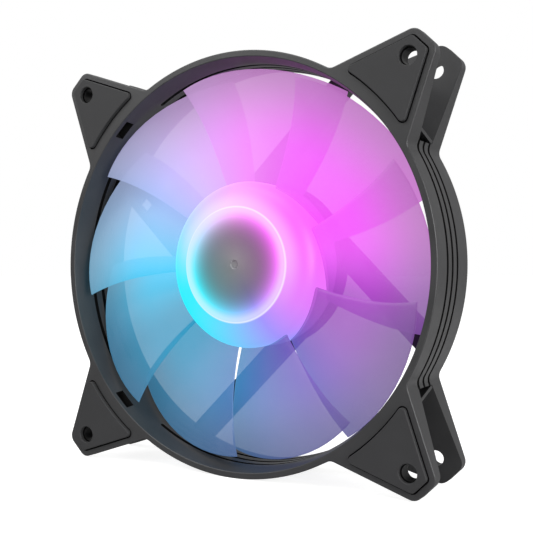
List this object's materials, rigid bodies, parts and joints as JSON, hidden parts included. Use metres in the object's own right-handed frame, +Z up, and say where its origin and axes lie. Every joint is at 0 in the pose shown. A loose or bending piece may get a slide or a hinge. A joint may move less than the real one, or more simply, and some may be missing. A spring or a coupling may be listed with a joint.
{
  "type": "case fan",
  "caption": "Square case fan with rubber corner pads: a translucent lit impeller turns on a brushless motor held on struts in a slotted round duct.",
  "frame": {"origin": "centre of the fan, on the impeller's axis, halfway between the front and rear faces", "axes": "+Y along the impeller's axis, from the open front face to the struts at the rear; +X to the right seen from the front; +Z up"},
  "size_m": [0.12, 0.027, 0.12],
  "materials": {
    "frame_plastic": "fine satin texture",
    "pad_rubber": "matte moulded rubber",
    "label_film": "satin film, blank",
    "frosted_plastic": "frosted translucent, lit from inside",
    "plated_steel": "zinc-plated, deep drawn",
    "ferrite": "matte sintered ferrite",
    "ground_steel": "ground",
    "brass": "turned",
    "tinned_brass": "bright tin plate",
    "seal_rubber": "matte",
    "sintered_bronze": "porous, oiled",
    "nylon_white": "satin nylon",
    "silicon_steel": "stacked laminations, epoxy coated",
    "copper_wire": "enamelled winding wire",
    "solder_mask": "white solder mask",
    "led_white": "LED package",
    "chip_black": "moulded epoxy",
    "capacitor_can": "satin can"
  },
  "bodies": {
    "frame": {"frame": "frame_plastic", "front_pad_tr": "pad_rubber", "front_pad_tl": "pad_rubber", "front_pad_bl": "pad_rubber", "front_pad_br": "pad_rubber", "rear_pad_tr": "pad_rubber", "rear_pad_tl": "pad_rubber", "rear_pad_bl": "pad_rubber", "rear_pad_br": "pad_rubber", "rear_label": "label_film", "bearing_tube": "brass", "oil_seal": "seal_rubber", "sleeve_bearing": "sintered_bronze", "thrust_pad": "nylon_white", "stator_core": "silicon_steel", "insulator_front": "nylon_white", "insulator_rear": "nylon_white", "coil_1": "copper_wire", "coil_2": "copper_wire", "coil_3": "copper_wire", "coil_4": "copper_wire", "circuit_board": "solder_mask", "terminal_pin_1": "tinned_brass", "terminal_pin_2": "tinned_brass", "terminal_pin_3": "tinned_brass", "led_1": "led_white", "led_2": "led_white", "led_3": "led_white", "led_4": "led_white", "led_5": "led_white", "led_6": "led_white", "led_7": "led_white", "led_8": "led_white", "hall_sensor": "chip_black", "driver_chip": "chip_black", "capacitor": "capacitor_can"},
    "rotor": {"impeller": "frosted_plastic", "rotor_yoke": "plated_steel", "magnet_ring": "ferrite", "shaft": "ground_steel", "shaft_bush": "brass", "retaining_clip": "nylon_white"}
  },
  "joints": [
    {"name": "impeller_spin", "type": "hinge", "parent": "frame", "child": "rotor", "pos_m": [0, 0, 0], "axis": [0, -1, 0], "continuous": true}
  ]
}
